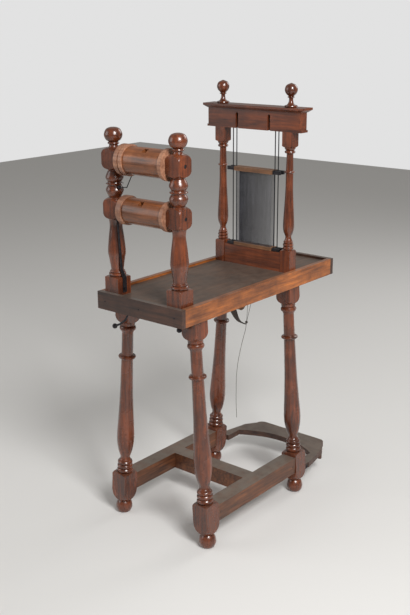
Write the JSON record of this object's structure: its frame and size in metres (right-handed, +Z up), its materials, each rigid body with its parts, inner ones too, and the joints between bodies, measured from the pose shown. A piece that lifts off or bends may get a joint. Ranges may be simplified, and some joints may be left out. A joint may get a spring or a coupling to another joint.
{
  "type": "weaving loom",
  "caption": "Small wooden ribbon loom: a tray on splayed turned legs, two warp rollers between turned posts, a columned heddle frame with two shafts, and a treadle.",
  "frame": {"origin": "on the floor under the middle of the loom's box", "axes": "+Z up, +Y from the warp rollers to the heddle frame, +X to the right across the loom"},
  "size_m": [0.3588, 0.7098, 1.1955],
  "materials": {
    "wood": "worn glossy polish",
    "dark_wood": "dull, dusty",
    "barrel_wood": "worn satin",
    "iron": "dark forged iron",
    "thread": "waxed thread",
    "leather": "old dark leather"
  },
  "bodies": {
    "loom_frame": {"leg_roller_left": "wood", "leg_roller_right": "wood", "leg_heddle_left": "wood", "leg_heddle_right": "wood", "side_stretcher_left": "wood", "side_stretcher_right": "wood", "middle_stretcher": "dark_wood", "tray_floor": "dark_wood", "tray_side_left": "wood", "tray_side_right": "wood", "tray_end_roller": "dark_wood", "tray_end_heddle": "dark_wood", "batten_roller": "dark_wood", "batten_heddle": "dark_wood", "roller_post_left": "wood", "roller_post_right": "wood", "pawl_screws": "iron", "heddle_sill": "wood", "column_left": "wood", "column_right": "wood", "header_beam": "wood", "header_beads": "wood", "header_cornice": "wood", "finial_left": "wood", "finial_right": "wood", "guide_rods": "iron", "header_pulley_pins": "iron", "tray_pulley_bracket": "iron", "iron_hooks": "iron", "strap": "leather", "harness_threads": "thread", "harness_knot": "thread", "free_cord": "thread", "treadle_brackets": "iron"},
    "upper_roller": {"upper_barrel": "barrel_wood", "upper_flange_left": "barrel_wood", "upper_flange_right": "barrel_wood", "upper_ratchet": "iron", "upper_axle": "iron"},
    "lower_roller": {"lower_barrel": "barrel_wood", "lower_flange_left": "barrel_wood", "lower_flange_right": "barrel_wood", "lower_ratchet": "iron", "lower_axle": "iron"},
    "spring_pawl_body": {"spring_pawl": "iron"},
    "wire_pawl_body": {"wire_pawl": "iron"},
    "front_shaft": {"front_upper_bar": "barrel_wood", "front_lower_bar": "barrel_wood", "front_bar_ends": "iron", "front_heddles": "thread"},
    "rear_shaft": {"rear_upper_bar": "barrel_wood", "rear_lower_bar": "barrel_wood", "rear_bar_ends": "iron", "rear_heddles": "thread"},
    "header_pulley_left_body": {"header_pulley_left": "barrel_wood"},
    "header_pulley_right_body": {"header_pulley_right": "barrel_wood"},
    "tray_pulley_body": {"tray_pulley": "barrel_wood"},
    "treadle": {"treadle_board": "dark_wood"}
  },
  "joints": [
    {"name": "upper_roller_turn", "type": "hinge", "parent": "loom_frame", "child": "upper_roller", "pos_m": [0, -0.316, 1.026], "axis": [1, 0, 0], "continuous": true},
    {"name": "lower_roller_turn", "type": "hinge", "parent": "loom_frame", "child": "lower_roller", "pos_m": [0, -0.316, 0.899], "axis": [1, 0, 0], "continuous": true},
    {"name": "spring_pawl_swing", "type": "hinge", "parent": "loom_frame", "child": "spring_pawl_body", "pos_m": [-0.083, -0.316, 0.69], "axis": [1, 0, 0], "range_deg": [0, 8], "stiffness_Nm_per_rad": 0.5},
    {"name": "wire_pawl_swing", "type": "hinge", "parent": "loom_frame", "child": "wire_pawl_body", "pos_m": [-0.0818, -0.325, 0.956], "axis": [1, 0, 0], "range_deg": [0, 45]},
    {"name": "front_shaft_lift", "type": "slide", "parent": "loom_frame", "child": "front_shaft", "axis": [0, 0, 1], "range_m": [0, 0.1]},
    {"name": "rear_shaft_lift", "type": "slide", "parent": "loom_frame", "child": "rear_shaft", "axis": [0, 0, 1], "range_m": [0, 0.1]},
    {"name": "header_pulley_left_turn", "type": "hinge", "parent": "loom_frame", "child": "header_pulley_left_body", "pos_m": [-0.055, 0.138, 1.0975], "axis": [1, 0, 0], "continuous": true},
    {"name": "header_pulley_right_turn", "type": "hinge", "parent": "loom_frame", "child": "header_pulley_right_body", "pos_m": [0.055, 0.138, 1.0975], "axis": [1, 0, 0], "continuous": true},
    {"name": "tray_pulley_turn", "type": "hinge", "parent": "loom_frame", "child": "tray_pulley_body", "pos_m": [0, 0.072, 0.574], "axis": [1, 0, 0], "continuous": true},
    {"name": "treadle_press", "type": "hinge", "parent": "loom_frame", "child": "treadle", "pos_m": [0, 0.178, 0.0665], "axis": [1, 0, 0], "range_deg": [-14, 0]}
  ]
}
